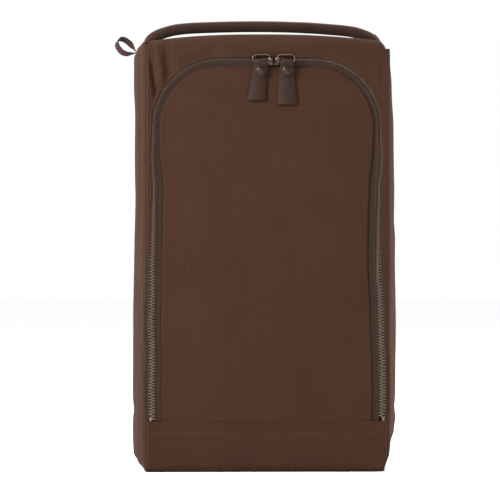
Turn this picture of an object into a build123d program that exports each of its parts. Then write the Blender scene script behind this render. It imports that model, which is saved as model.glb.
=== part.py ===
"""Golf shoe bag: an upright canvas bag with an arched two-way zip door, a rolled top handle,
leather zip pulls and a ribbon hang loop.

Millimetres. The origin is the middle of the base, on the surface the bag stands on.
+Z is up and the door faces -Y.
"""

from build123d import *
import math
import os

os.makedirs("parts", exist_ok=True)

# ---- overall size ----
front_half_width = 101.5     # side seams, measured from the middle
half_depth = 63.5
shoulder_height = 362.0      # top corners
crown_rise = 6.5             # how far the top arches above its corners
gusset_bulge = 8.0           # how far each side swells past its seams

# ---- cloth ----
canvas = 1.6
lining = 0.6
tape = 0.8
board = 2.0
binding_width = 8.0
binding_setback = 2.5        # from the panel it binds
binding_top = 357.5
sewing_gap = 0.6             # between the door's foot and the band it hangs from

# ---- zip ----
chain_half_width = 96.0      # from the middle to the line where the teeth meet
chain_top = 347.0
chain_corner = 57.0          # radius of the arch's two corners
band_top = 42.4
tooth_pitch = 2.5
first_tooth = 5.0            # from the foot of the arch to the first tooth
stop_length = 3.0
tooth_length = 1.1           # along the zip
tooth_inner = 0.9            # from the meeting line to a tooth's head
tooth_outer = 3.0            # from the meeting line to a tooth's root
tooth_thickness = 2.6
tape_edge = 3.05             # from the meeting line to the edge of each tape
outer_tape_reach = 9.0
inner_tape_reach = 14.0
yoke_setback = 5.3           # canvas clears the sliders
door_setback = 9.0
door_lining_setback = 5.6

# ---- sliders ----
slider_meeting = 5.5         # where the two sliders touch, right of the middle
slider_gap = 0.4
slider_length = 8.8
slider_half_width = 4.9
slider_round = 2.0           # rounding of a plate's corners
plate = 1.2
channel = 3.4                # between the two plates
lip = 0.7
lip_length = 4.8
lip_gap = 1.1                # for the tape between the lips
post_width = 1.4
post_length = 3.0
crown_length = 5.6
crown_width = 2.0
crown_height = 5.4
crown_wall = 1.1
crown_round = 1.2
pawl_width = 1.2
pawl_thickness = 0.4

# ---- rings, pulls and rivets ----
wire = 0.65
ring_length = 14.6
ring_height = 6.2
ring_corner = 2.6
ring_lift = 0.6              # ring's middle above the line of the teeth
ring_standoff = 6.0          # ring's plane in front of the teeth
leather = 1.7
fold_inner = 1.1
neck_width = 8.0
neck_shift = 0.6             # strip sits this far out from the ring's middle
flap_width = 11.0
flap_drop = 10.8             # ends below the ring's lower wire
pinch_drop = 3.2
pull_shapes = {"left": (-1, -3.5, 14.9, 31.7),     # side, lean of the tail, its width and length
               "right": (1, 0.3, 16.5, 35.6)}
rivet_cap_radius = 3.5
rivet_drop = pinch_drop + rivet_cap_radius + 0.1
rivet_cap_height = 1.3
rivet_post_radius = 1.2
rivet_base_radius = 3.0
rivet_base_height = 0.5

# ---- handle ----
handle_radius = 4.8
core_radius = 3.2
handle_half_span = 98.5
handle_pivot = 368.2
handle_top = 379.5
handle_points = [(-handle_half_span, handle_pivot), (-handle_half_span + 7.5, handle_pivot + 6.0),
                 (-68.0, handle_top - 1.5), (0, handle_top), (68.0, handle_top - 1.5),
                 (handle_half_span - 7.5, handle_pivot + 6.0), (handle_half_span, handle_pivot)]
handle_bends = [9.0, 60.0, 800.0, 60.0, 9.0]    # bend radius at each point between the ends
tab_half_width = 7.0
tab_thickness = 2.0
tab_height = 371.0
tab_gap = 0.5                # between the roll and its flat end
tab_hidden = 4.0             # the part below the shoulder, cut away along the bag

# ---- ribbon loop ----
ribbon = 0.8
ribbon_width = 8.0
ribbon_middle = 12.0         # behind the middle of the bag
ribbon_root = (-111.2, 357.3)
ribbon_round = (-120.5, 364.5)
ribbon_root_radius = 1.1
ribbon_round_radius = 7.2

# ---- worked out from the sizes above ----
panel_half_width = front_half_width - canvas
lining_foot = canvas + board + lining
binding_half_width = panel_half_width - canvas - 0.4
binding_foot = lining_foot + 0.4
gusset_inner_radius = (half_depth**2 + gusset_bulge**2) / (2 * gusset_bulge)
gusset_centre = panel_half_width + gusset_bulge - gusset_inner_radius
gusset_outer_radius = gusset_inner_radius + canvas
crown_radius = (front_half_width**2 + crown_rise**2) / (2 * crown_rise)
crown_centre = shoulder_height + crown_rise - crown_radius
chain_plane = half_depth - canvas - tape / 2
inside_depth = half_depth - canvas
arch_straight = chain_half_width - chain_corner
arch_spring = chain_top - chain_corner
door_foot = band_top + sewing_gap
ring_plane = chain_plane + ring_standoff
ring_middle = chain_top + ring_lift
pull_pivot = ring_middle - ring_height / 2
tall = 2 * shoulder_height   # more than the bag, for cutting


def finish(part, name):
    """Name a finished piece and write it."""
    part.label = name
    export_step(part, f"parts/{name}.step")


def crown_height_at(x, drop=0.0):
    """Height of the arched top at x, or of a surface parallel to it and drop below it."""
    return crown_centre + math.sqrt((crown_radius - drop) ** 2 - x**2)


def gusset_x(radius, y):
    """How far out a side panel's surface of this radius lies at depth y."""
    return gusset_centre + math.sqrt(radius**2 - y**2)


def arch_face(offset, foot, half_limit=1000.0):
    """The zip's arch, grown by offset, standing on the height foot and cut at half_limit."""
    half = chain_half_width + offset
    top = chain_top + offset
    corner = chain_corner + offset
    with BuildSketch(Plane.XZ) as sketch:
        with BuildLine():
            Line((-half, foot), (half, foot))
            Line((half, foot), (half, top - corner))
            RadiusArc((half, top - corner), (half - corner, top), -corner)
            Line((half - corner, top), (corner - half, top))
            RadiusArc((corner - half, top), (-half, top - corner), -corner)
            Line((-half, top - corner), (-half, foot))
        make_face()
        with Locations((0, foot + tall / 2)):
            Rectangle(2 * half_limit, tall, mode=Mode.INTERSECT)
    return sketch.sketch


def below_crown(drop, half_width, foot):
    """Front outline from foot up to the arched top, less drop."""
    edge = crown_height_at(half_width, drop)
    with BuildSketch(Plane.XZ) as sketch:
        with BuildLine():
            Polyline((-half_width, edge), (-half_width, foot), (half_width, foot), (half_width, edge))
            ThreePointArc((half_width, edge), (0, crown_height_at(0, drop)), (-half_width, edge))
        make_face()
    return sketch.sketch


def bulged_plan(radius, half_length):
    """Outline of the bag from above, between the two swollen sides."""
    corner = gusset_x(radius, half_length)
    swell = gusset_x(radius, 0)
    with BuildSketch(Plane.XY) as sketch:
        with BuildLine():
            Line((-corner, -half_length), (corner, -half_length))
            ThreePointArc((corner, -half_length), (swell, 0), (corner, half_length))
            Line((corner, half_length), (-corner, half_length))
            ThreePointArc((-corner, half_length), (-swell, 0), (-corner, -half_length))
        make_face()
    return sketch.sketch


# ---- back, top and bottom ----

def back_sheet(inset, thickness, side_gap, foot):
    """A sheet lying against the back, inset inwards from its outer face."""
    outline = below_crown(inset, panel_half_width - side_gap, foot)
    with BuildPart() as sheet:
        with BuildSketch(Plane.XZ.offset(inset - half_depth)):
            add(outline)
        extrude(amount=thickness)
    return sheet.part


def top_sheet(inset, thickness, radius, half_length):
    """A sheet under the arched top, cut to the bag's outline."""
    with BuildPart() as sheet:
        with BuildSketch(Plane.XY):
            add(bulged_plan(radius, half_length))
        extrude(amount=tall)
        with BuildSketch(Plane.XZ.offset(half_depth)):
            add(below_crown(inset, radius, 0))
        extrude(amount=-2 * half_depth, mode=Mode.INTERSECT)
        with BuildSketch(Plane.XZ.offset(half_depth)):
            add(below_crown(inset + thickness, radius, 0))
        extrude(amount=-2 * half_depth, mode=Mode.SUBTRACT)
    return sheet.part


finish(back_sheet(0, canvas, 0, canvas), "back_panel")
finish(back_sheet(canvas, lining, 2 * lining, canvas + board + lining), "back_lining")
finish(top_sheet(0, canvas, gusset_outer_radius, inside_depth), "top_panel")
finish(top_sheet(canvas, lining, gusset_inner_radius - 2 * lining, inside_depth - 2 * lining), "top_lining")

with BuildPart() as bottom_panel:
    with BuildSketch(Plane.XY):
        add(bulged_plan(gusset_outer_radius, half_depth))
    extrude(amount=canvas)
finish(bottom_panel.part, "bottom_panel")

with BuildPart() as base_board:
    with BuildSketch(Plane.XY.offset(canvas)):
        add(bulged_plan(gusset_inner_radius - 2 * canvas, inside_depth - 2 * canvas))
    extrude(amount=board)
finish(base_board.part, "base_board")

with BuildPart() as base_cover:
    with BuildSketch(Plane.XY.offset(canvas + board)):
        add(bulged_plan(gusset_inner_radius - 2 * lining, inside_depth - 2 * lining))
    extrude(amount=lining)
finish(base_cover.part, "base_cover")


# ---- sides ----

def side_sheet(side, outer, thickness, half_length, foot, drop):
    """One swollen side panel: side is -1 on the left and 1 on the right."""
    inner = outer - thickness
    with BuildPart() as sheet:
        with BuildSketch(Plane.XY.offset(foot)):
            with BuildLine():
                Line((side * gusset_x(inner, half_length), -half_length),
                     (side * gusset_x(outer, half_length), -half_length))
                ThreePointArc((side * gusset_x(outer, half_length), -half_length),
                              (side * gusset_x(outer, 0), 0),
                              (side * gusset_x(outer, half_length), half_length))
                Line((side * gusset_x(outer, half_length), half_length),
                     (side * gusset_x(inner, half_length), half_length))
                ThreePointArc((side * gusset_x(inner, half_length), half_length),
                              (side * gusset_x(inner, 0), 0),
                              (side * gusset_x(inner, half_length), -half_length))
            make_face()
        extrude(amount=tall)
        with BuildSketch(Plane.XZ.offset(half_depth)):
            add(below_crown(drop, outer, 0))
        extrude(amount=-2 * half_depth, mode=Mode.INTERSECT)
    return sheet.part


for side, name in ((-1, "left"), (1, "right")):
    finish(side_sheet(side, gusset_outer_radius, canvas, half_depth, canvas, canvas), f"{name}_gusset")
    finish(side_sheet(side, gusset_inner_radius, lining, inside_depth - 2 * lining, lining_foot,
                      canvas + 2 * lining), f"{name}_lining")


# ---- front ----

def front_sheet(face, inset, thickness):
    """A sheet in the front, its outer face inset behind the front plane."""
    with BuildPart() as sheet:
        with BuildSketch(Plane.XZ.offset(half_depth - inset)):
            add(face)
        extrude(amount=-thickness)
    return sheet.part


with BuildSketch(Plane.XZ) as yoke_outline:
    add(below_crown(0, panel_half_width, arch_spring))
    add(arch_face(yoke_setback, 0), mode=Mode.SUBTRACT)
finish(front_sheet(yoke_outline.sketch, 0, canvas), "front_yoke")

with BuildSketch(Plane.XZ) as band_outline:
    with Locations((0, (band_top + canvas) / 2)):
        Rectangle(2 * panel_half_width, band_top - canvas)
finish(front_sheet(band_outline.sketch, 0, canvas), "front_band")

with BuildSketch(Plane.XZ) as band_lining_outline:
    with Locations((0, (band_top + lining_foot) / 2)):
        Rectangle(2 * (panel_half_width - 2 * lining), band_top - lining_foot)
finish(front_sheet(band_lining_outline.sketch, canvas, lining), "band_lining")

with BuildSketch(Plane.XZ) as outer_tape_outline:
    add(arch_face(outer_tape_reach, band_top, panel_half_width))
    add(arch_face(tape_edge, 0), mode=Mode.SUBTRACT)
finish(front_sheet(outer_tape_outline.sketch, canvas, tape), "zipper_outer_tape")

with BuildSketch(Plane.XZ) as inner_tape_outline:
    add(arch_face(-tape_edge, door_foot))
    add(arch_face(-inner_tape_reach, 0), mode=Mode.SUBTRACT)
finish(front_sheet(inner_tape_outline.sketch, canvas, tape), "zipper_inner_tape")

finish(front_sheet(arch_face(-door_setback, door_foot), 0, canvas), "door_panel")
finish(front_sheet(arch_face(-door_lining_setback, door_foot), canvas + tape, lining), "door_lining")


# ---- seam bindings: a tape loop over the raw edges, inside each face ----

def binding(front):
    """A loop of tape whose front edge is at distance front before the middle."""
    height = binding_top - binding_foot
    with BuildPart() as loop:
        with BuildSketch(Plane.XZ.offset(front)):
            with Locations((0, binding_foot + height / 2)):
                Rectangle(2 * binding_half_width, height)
                Rectangle(2 * (binding_half_width - canvas), height - 2 * canvas, mode=Mode.SUBTRACT)
        extrude(amount=-binding_width)
    return loop.part


finish(binding(inside_depth - binding_setback), "front_seam_binding")
finish(binding(binding_width + binding_setback - inside_depth), "back_seam_binding")


# ---- zip teeth and stops ----

def chain_place(distance):
    """A point of the arch and its direction, at a distance along it from the left foot."""
    leg = arch_spring - door_foot
    bend = chain_corner * math.pi / 2
    straight = 2 * arch_straight
    if distance < leg:
        return -chain_half_width, door_foot + distance, 90.0
    if distance < leg + bend:
        turn = (distance - leg) / chain_corner
        return (-arch_straight - chain_corner * math.cos(turn),
                arch_spring + chain_corner * math.sin(turn), 90 - math.degrees(turn))
    if distance < leg + bend + straight:
        return distance - leg - bend - arch_straight, chain_top, 0.0
    if distance < leg + 2 * bend + straight:
        turn = (distance - leg - bend - straight) / chain_corner
        return (arch_straight + chain_corner * math.sin(turn),
                arch_spring + chain_corner * math.cos(turn), -math.degrees(turn))
    return chain_half_width, arch_spring - (distance - leg - 2 * bend - straight), -90.0


def teeth(side, start):
    """One row of teeth: side is 1 outside the meeting line and -1 inside it."""
    length = 2 * (arch_spring - door_foot) + math.pi * chain_corner + 2 * arch_straight
    middle = side * (tooth_inner + tooth_outer) / 2
    spots = []
    for number in range(int((length - start) / tooth_pitch)):
        x, z, angle = chain_place(start + number * tooth_pitch)
        lean = math.radians(angle + 90)
        spots.append(Location((x + middle * math.cos(lean), z + middle * math.sin(lean), 0), angle))
    with BuildPart() as row:
        with BuildSketch(Plane.XZ.offset(chain_plane - tooth_thickness / 2)):
            with Locations(*spots):
                Rectangle(tooth_length, tooth_outer - tooth_inner)
        extrude(amount=tooth_thickness)
    return row.part


finish(teeth(1, first_tooth), "zipper_outer_teeth")
finish(teeth(-1, first_tooth + tooth_pitch / 2), "zipper_inner_teeth")

with BuildPart() as end_stops:
    with BuildSketch(Plane.XZ.offset(chain_plane - tooth_thickness / 2)):
        for side in (-1, 1):
            with Locations((side * (chain_half_width + (tooth_inner + tooth_outer) / 2),
                            door_foot + stop_length / 2)):
                Rectangle(tooth_outer - tooth_inner, stop_length)
    extrude(amount=tooth_thickness)
finish(end_stops.part, "zipper_end_stops")


# ---- sliders ----

def slider_body(side):
    """Two plates joined by a post at the nose, with lips that hold the teeth in line."""
    middle = slider_meeting + side * (slider_gap + slider_length) / 2
    nose = middle - side * (slider_length - post_length) / 2
    with BuildPart() as body:
        with BuildSketch(Plane.XZ.offset(chain_plane + channel / 2)):
            with Locations((middle, chain_top)):
                RectangleRounded(slider_length, 2 * slider_half_width, slider_round)
        extrude(amount=plate)
        with BuildSketch(Plane.XZ.offset(chain_plane - channel / 2)):
            with Locations((middle, chain_top)):
                RectangleRounded(slider_length, 2 * slider_half_width, slider_round)
        extrude(amount=-plate)
        with BuildSketch(Plane.XZ.offset(chain_plane - channel / 2)):
            with Locations((nose, chain_top)):
                Rectangle(post_length, post_width)
        extrude(amount=channel)
        for front, depth in ((channel / 2, -1), (-channel / 2, 1)):
            with BuildSketch(Plane.XZ.offset(chain_plane + front)):
                for edge in (-1, 1):
                    with Locations((middle, chain_top + edge * (slider_half_width - lip / 2))):
                        Rectangle(lip_length, lip)
            extrude(amount=depth * (channel - lip_gap) / 2)
    return body.part


def crown_place(side):
    """Where a slider's crown stands along the zip, near the nose."""
    return slider_meeting + side * (slider_gap / 2 + crown_length / 2)


def slider_crown(side):
    """The strap on the front plate that the ring runs through."""
    with BuildPart() as crown:
        with BuildSketch(Plane.XY.offset(chain_top - crown_width / 2)):
            with Locations((crown_place(side), -(chain_plane + channel / 2 + plate + crown_height / 2))):
                RectangleRounded(crown_length, crown_height, crown_round)
                Rectangle(crown_length - 2 * crown_wall, crown_height - 2 * crown_wall, mode=Mode.SUBTRACT)
        extrude(amount=crown_width)
    return crown.part


def slider_pawl(side):
    """The sprung lock tongue that lies in the floor of the crown."""
    front = chain_plane + channel / 2 + plate + crown_wall
    with BuildPart() as pawl:
        with BuildSketch(Plane.XY.offset(chain_top - pawl_width / 2)):
            with Locations((crown_place(side), -front - pawl_thickness / 2)):
                Rectangle(crown_length - 2 * crown_wall, pawl_thickness)
        extrude(amount=pawl_width)
    return pawl.part


def ring(side):
    """An oval wire link whose inner end passes up through the crown."""
    inner = crown_place(side)
    outer = inner + side * ring_length
    low = ring_middle - ring_height / 2
    high = ring_middle + ring_height / 2
    with BuildPart() as link:
        with BuildLine(Plane.XZ.offset(ring_plane)):
            FilletPolyline((inner, low), (outer, low), (outer, high), (inner, high),
                           radius=ring_corner, close=True)
        with BuildSketch(Plane.YZ.offset((inner + outer) / 2)):
            with Locations((-ring_plane, low)):
                Circle(wire)
        sweep()
    return link.part


def pull_middle(side):
    """Where a pull hangs along its ring."""
    return crown_place(side) + side * (ring_length / 2 + neck_shift)


def pull(side, lean, tail_width, tail_drop):
    """A leather strip folded over the ring's lower wire and riveted to itself."""
    middle = pull_middle(side)
    back = ring_plane - fold_inner
    fold_outer = fold_inner + leather
    flap_straight = flap_drop - flap_width / 2
    with BuildPart() as strip:
        with BuildSketch(Plane.XZ.offset(back)):
            with BuildLine():
                Polyline((middle - neck_width / 2, pull_pivot),
                         (middle - flap_width / 2, pull_pivot - pinch_drop),
                         (middle + lean - tail_width / 2, pull_pivot - tail_drop),
                         (middle + lean + tail_width / 2, pull_pivot - tail_drop),
                         (middle + flap_width / 2, pull_pivot - pinch_drop),
                         (middle + neck_width / 2, pull_pivot), close=True)
            make_face()
        extrude(amount=-leather)
        with BuildSketch(Plane.YZ.offset(middle - neck_width / 2)):
            with Locations((-ring_plane, pull_pivot)):
                Circle(fold_outer)
                Circle(fold_inner, mode=Mode.SUBTRACT)
            with Locations((-ring_plane, pull_pivot - fold_outer)):
                Rectangle(2 * fold_outer, 2 * fold_outer, mode=Mode.SUBTRACT)
            with BuildLine():
                Polyline((-ring_plane - fold_inner, pull_pivot),
                         (-ring_plane - fold_outer, pull_pivot),
                         (-back - leather, pull_pivot - pinch_drop),
                         (-back, pull_pivot - pinch_drop), close=True)
            make_face()
        extrude(amount=neck_width)
        with BuildSketch(Plane.XZ.offset(back)):
            with Locations((middle, pull_pivot - flap_straight / 2)):
                Rectangle(flap_width, flap_straight)
            with Locations((middle, pull_pivot - flap_straight)):
                Circle(flap_width / 2)
            with Locations((middle, pull_pivot)):
                Rectangle(2 * flap_width, 2 * pinch_drop, mode=Mode.SUBTRACT)
        extrude(amount=leather)
        with BuildSketch(Plane.XZ.offset(back - leather)):
            with Locations((middle, pull_pivot - rivet_drop)):
                Circle(rivet_post_radius)
        extrude(amount=2 * leather, mode=Mode.SUBTRACT)
    return strip.part


def rivet_cap(side):
    """The domed front of a rivet."""
    with BuildPart() as cap:
        with BuildSketch(Plane.XZ.offset(ring_plane - fold_inner + leather)):
            with Locations((pull_middle(side), pull_pivot - rivet_drop)):
                Circle(rivet_cap_radius)
        extrude(amount=rivet_cap_height)
        fillet(cap.faces().sort_by(Axis.Y)[0].edges(), radius=rivet_cap_height - 0.1)
    return cap.part


def rivet_base(side):
    """The flat back of a rivet and the post that holds both layers."""
    middle = pull_middle(side)
    back = ring_plane - fold_inner - leather
    with BuildPart() as base:
        with BuildSketch(Plane.XZ.offset(back)):
            with Locations((middle, pull_pivot - rivet_drop)):
                Circle(rivet_base_radius)
        extrude(amount=-rivet_base_height)
        with BuildSketch(Plane.XZ.offset(back)):
            with Locations((middle, pull_pivot - rivet_drop)):
                Circle(rivet_post_radius)
        extrude(amount=2 * leather)
    return base.part


for name, (side, lean, tail_width, tail_drop) in pull_shapes.items():
    finish(slider_body(side), f"slider_{name}_body")
    finish(slider_crown(side), f"slider_{name}_crown")
    finish(slider_pawl(side), f"slider_{name}_pawl")
    finish(ring(side), f"ring_{name}")
    finish(pull(side, lean, tail_width, tail_drop), f"pull_{name}")
    finish(rivet_cap(side), f"rivet_{name}_cap")
    finish(rivet_base(side), f"rivet_{name}_base")


# ---- handle ----

def roll(radius):
    """A round bar along the handle, with rounded ends."""
    with BuildPart() as bar:
        with BuildLine(Plane.XZ):
            FilletPolyline(*handle_points, radius=handle_bends)
        start = handle_points[0]
        step = handle_points[1]
        with BuildSketch(Plane(origin=(start[0], 0, start[1]),
                               z_dir=(step[0] - start[0], 0, step[1] - start[1]))):
            Circle(radius)
        sweep()
        with Locations((-handle_half_span, 0, handle_pivot), (handle_half_span, 0, handle_pivot)):
            Sphere(radius)
    return bar.part


with BuildPart() as handle_cover:
    add(roll(handle_radius))
    add(roll(core_radius), mode=Mode.SUBTRACT)
finish(handle_cover.part, "handle_cover")
finish(roll(core_radius), "handle_core")


def handle_tab(side):
    """The flat end of the handle, standing out of the side seam beside the roll."""
    tab_foot = shoulder_height - tab_hidden
    inner = handle_half_span + handle_radius + tab_gap
    with BuildPart() as tab:
        with BuildSketch(Plane.YZ.offset(side * inner)):
            with Locations((0, (tab_height + tab_foot) / 2)):
                Rectangle(2 * tab_half_width, tab_height - tab_foot)
        extrude(amount=side * tab_thickness)
        with BuildSketch(Plane.XZ.offset(half_depth)):
            add(below_crown(0, gusset_outer_radius, 0))
        extrude(amount=-2 * half_depth, mode=Mode.SUBTRACT)
    return tab.part


finish(handle_tab(-1), "handle_tab_left")
finish(handle_tab(1), "handle_tab_right")


# ---- ribbon hang loop ----

def ribbon_outline(shrink):
    """A teardrop round the root and the round end of the loop."""
    with BuildSketch(Plane.XZ) as outline:
        with Locations(ribbon_root):
            Circle(ribbon_root_radius - shrink)
        with Locations(ribbon_round):
            Circle(ribbon_round_radius - shrink)
        make_hull()
    return outline.sketch


with BuildPart() as hang_loop:
    with BuildSketch(Plane.XZ.offset(-ribbon_middle - ribbon_width / 2)):
        add(ribbon_outline(0))
        add(ribbon_outline(ribbon), mode=Mode.SUBTRACT)
    extrude(amount=ribbon_width)
finish(hang_loop.part, "hang_loop")
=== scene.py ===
"""Golf shoe bag: fabric, zip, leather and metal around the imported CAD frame. Metres, except in the
tables that say millimetres."""

import bpy
import bmesh
import math
import random
from mathutils import Matrix, Vector, noise


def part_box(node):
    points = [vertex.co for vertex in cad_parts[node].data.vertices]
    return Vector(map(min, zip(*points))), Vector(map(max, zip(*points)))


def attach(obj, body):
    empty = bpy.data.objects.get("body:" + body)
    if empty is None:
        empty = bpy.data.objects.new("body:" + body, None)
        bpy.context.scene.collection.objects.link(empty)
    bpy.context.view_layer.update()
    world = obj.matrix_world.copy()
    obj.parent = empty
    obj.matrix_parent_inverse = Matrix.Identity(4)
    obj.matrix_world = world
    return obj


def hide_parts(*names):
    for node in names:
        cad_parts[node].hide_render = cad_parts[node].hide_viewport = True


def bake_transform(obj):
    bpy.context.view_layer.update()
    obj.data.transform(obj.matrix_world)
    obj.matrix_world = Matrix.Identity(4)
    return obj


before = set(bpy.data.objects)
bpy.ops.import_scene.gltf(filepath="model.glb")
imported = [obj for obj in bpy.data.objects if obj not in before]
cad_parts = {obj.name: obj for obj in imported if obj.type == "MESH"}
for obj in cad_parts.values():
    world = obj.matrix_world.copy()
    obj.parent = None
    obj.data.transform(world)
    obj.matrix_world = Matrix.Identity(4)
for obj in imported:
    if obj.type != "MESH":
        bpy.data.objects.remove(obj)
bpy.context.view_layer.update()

MM = 0.001
rng = random.Random(7)

# ---- places taken from the frame ----
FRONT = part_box("front_band")[0][1]
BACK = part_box("back_panel")[1][1]
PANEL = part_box("back_panel")[1][0]
CANVAS = 1.6 * MM
SEAM = PANEL + CANVAS
SHOULDER = 362.0 * MM
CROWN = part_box("back_panel")[1][2] - SHOULDER
BAND_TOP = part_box("front_band")[1][2]
DOOR_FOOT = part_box("door_panel")[0][2]
TAPE_EDGE = 3.05 * MM
CHAIN_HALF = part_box("zipper_inner_tape")[1][0] + TAPE_EDGE
CHAIN_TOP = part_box("zipper_inner_tape")[1][2] + TAPE_EDGE
CHAIN_CORNER = 57.0 * MM
CHAIN_Y = (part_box("zipper_inner_tape")[0][1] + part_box("zipper_inner_tape")[1][1]) / 2
SPRING = CHAIN_TOP - CHAIN_CORNER
STRAIGHT = CHAIN_HALF - CHAIN_CORNER
EDGE_ROUND = 7.0 * MM        # rounding of the bag's top and bottom edges
SEAM_ROUND = 2.2 * MM        # how far each panel turns down into an upright seam


# ---- small helpers ----

def smooth(low, high, value):
    """0 below low, 1 above high, and an easy curve between them."""
    share = min(1.0, max(0.0, (value - low) / (high - low)))
    return share * share * (3 - 2 * share)


def along(points, place):
    """Eases between (place, value) points given in millimetres."""
    place /= MM
    if place <= points[0][0]:
        return points[0][1] * MM
    for (a, first), (b, second) in zip(points, points[1:]):
        if place <= b:
            return (first + (second - first) * smooth(a, b, place)) * MM
    return points[-1][1] * MM


def creases(a, b, folds):
    """Depth at (a, b) of folds given in millimetres as (start, end, width, depth): each is a valley
    along its line, or a ridge if its depth is negative, and fades towards both ends."""
    point = Vector((a, b)) / MM
    total = 0.0
    for start, end, width, depth in folds:
        run = Vector(end) - Vector(start)
        out = point - Vector(start)
        share = min(1.0, max(0.0, out.dot(run) / run.length_squared))
        fade = math.sin(math.pi * (0.12 + 0.76 * share))
        total += depth * fade * math.exp(-(((out - run * share).length / width) ** 2))
    return total * MM


def ripple(a, b, seed, height, wide, high=None):
    """Slow unevenness of stretched cloth, with lumps of a width and a height, in millimetres."""
    return height * MM * noise.noise(Vector((a / (wide * MM), b / ((high or wide) * MM), seed)))


def link(name, data):
    """A new object for a mesh, lamp or camera."""
    piece = bpy.data.objects.new(name, data)
    bpy.context.collection.objects.link(piece)
    return piece


def built(name, mesh, outwards=True):
    """Turns a built mesh into an object, with its faces turned outwards."""
    if outwards:
        bmesh.ops.recalc_face_normals(mesh, faces=mesh.faces)
    data = bpy.data.meshes.new(name)
    mesh.to_mesh(data)
    mesh.free()
    return link(name, data)


def skin(mesh, rings, closed=False):
    """Smooth faces between neighbouring rings of points, and flat caps unless the run is closed. Gives
    each face with its place round the ring, which is None for a cap."""
    sides = len(rings[0])
    faces = []
    for i in range(len(rings) if closed else len(rings) - 1):
        first, second = rings[i], rings[(i + 1) % len(rings)]
        for j in range(sides):
            face = mesh.faces.new((first[j], first[(j + 1) % sides], second[(j + 1) % sides], second[j]))
            face.smooth = True
            faces.append((j, face))
    if not closed:
        faces += [(None, mesh.faces.new(ring)) for ring in (list(reversed(rings[0])), rings[-1])]
    return faces


def flatten(piece, place):
    """Gives a piece flat cloth coordinates from its points."""
    flat = piece.data.uv_layers.new(name="Flat")
    for loop in piece.data.loops:
        flat.data[loop.index].uv = place(piece.data.vertices[loop.vertex_index].co)


def bake_modifiers(piece):
    """Turns a piece's modifiers into its mesh."""
    evaluated = piece.evaluated_get(bpy.context.evaluated_depsgraph_get())
    mesh = bpy.data.meshes.new_from_object(evaluated)
    old = piece.data
    piece.modifiers.clear()
    piece.data = mesh
    bpy.data.meshes.remove(old)
    return piece


def grid(name, columns, rows, place, spread=None, closed=False):
    """A sheet of columns x rows points: place(i, j) gives a point, spread(i, j) its flat place."""
    mesh = bmesh.new()
    points = [[mesh.verts.new(place(i, j)) for j in range(rows)] for i in range(columns)]
    flat = mesh.loops.layers.uv.new("Flat")
    last = columns if closed else columns - 1
    for i in range(last):
        for j in range(rows - 1):
            corners = ((i, j), (i + 1, j), (i + 1, j + 1), (i, j + 1))
            face = mesh.faces.new([points[a % columns][b] for a, b in corners])
            face.smooth = True
            if spread:
                for loop, (a, b) in zip(face.loops, corners):
                    loop[flat].uv = spread(a, b)
    return built(name, mesh, outwards=False)


def thicken(piece, thickness, offset):
    """Gives a sheet its thickness: inwards from its face at offset -1, outwards at 1."""
    solid = piece.modifiers.new("thickness", "SOLIDIFY")
    solid.thickness = thickness
    solid.offset = offset
    solid.use_even_offset = False
    return bake_modifiers(piece)


def spaced(start, end, count, crowd=0.0):
    """count values from start to end; crowd above 0 packs them towards both ends."""
    values = []
    for number in range(count):
        share = number / (count - 1)
        eased = 0.5 - 0.5 * math.cos(math.pi * share)
        values.append(start + (end - start) * (share * (1 - crowd) + eased * crowd))
    return values


def wear(piece, material, body, slot, *nodes):
    """Gives a piece its material and its body, and hides the CAD nodes it stands for. slot is not used."""
    piece.data.materials.clear()
    for one in material if isinstance(material, (list, tuple)) else [material]:
        piece.data.materials.append(one)
    if body:
        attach(piece, body)
    if nodes:
        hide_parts(*nodes)
    return piece


def sheet(name, columns, rows, place, spread, thickness, offset, *worn):
    """A thickened sheet of cloth; worn is what wear() takes after the piece."""
    return wear(thicken(grid(name, columns, rows, place, spread), thickness, offset), *worn)


def rounded_box(low, high, corner, steps):
    """Points (a, b) round a box with rounded corners, between its low and high corners."""
    points = []
    for a, b, start in ((1, 1, 0), (0, 1, 90), (0, 0, 180), (1, 0, 270)):
        middle = [(high if far else low)[axis] + corner * (1 - 2 * far) for axis, far in enumerate((a, b))]
        for k in range(steps + 1):
            turn = math.radians(start + 90 * k / steps)
            points.append((middle[0] + corner * math.cos(turn), middle[1] + corner * math.sin(turn)))
    return points


# ---- the zip's arch ----

LEG = SPRING - DOOR_FOOT
BEND = CHAIN_CORNER * math.pi / 2
ARCH = 2 * LEG + 2 * BEND + 2 * STRAIGHT

# (height, how far inwards) down each slack leg, in millimetres
LEG_WANDER = {
    -1: [(43, -0.8), (70, -1.1), (100, -0.6), (125, -1.4), (150, -0.7), (175, -0.7), (205, 0.2),
         (240, 0.6), (265, -0.9), (284, 0.0)],
    1: [(43, -0.6), (60, -1.2), (90, -1.1), (112, 0.0), (135, 0.6), (175, 2.6), (205, 2.3), (240, 1.3),
        (262, -0.4), (284, 0.0)]}


def wander(x, z):
    """How far the slack leg of the zip on x's side strays inwards at height z."""
    return along(LEG_WANDER[-1 if x < 0 else 1], z)


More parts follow.
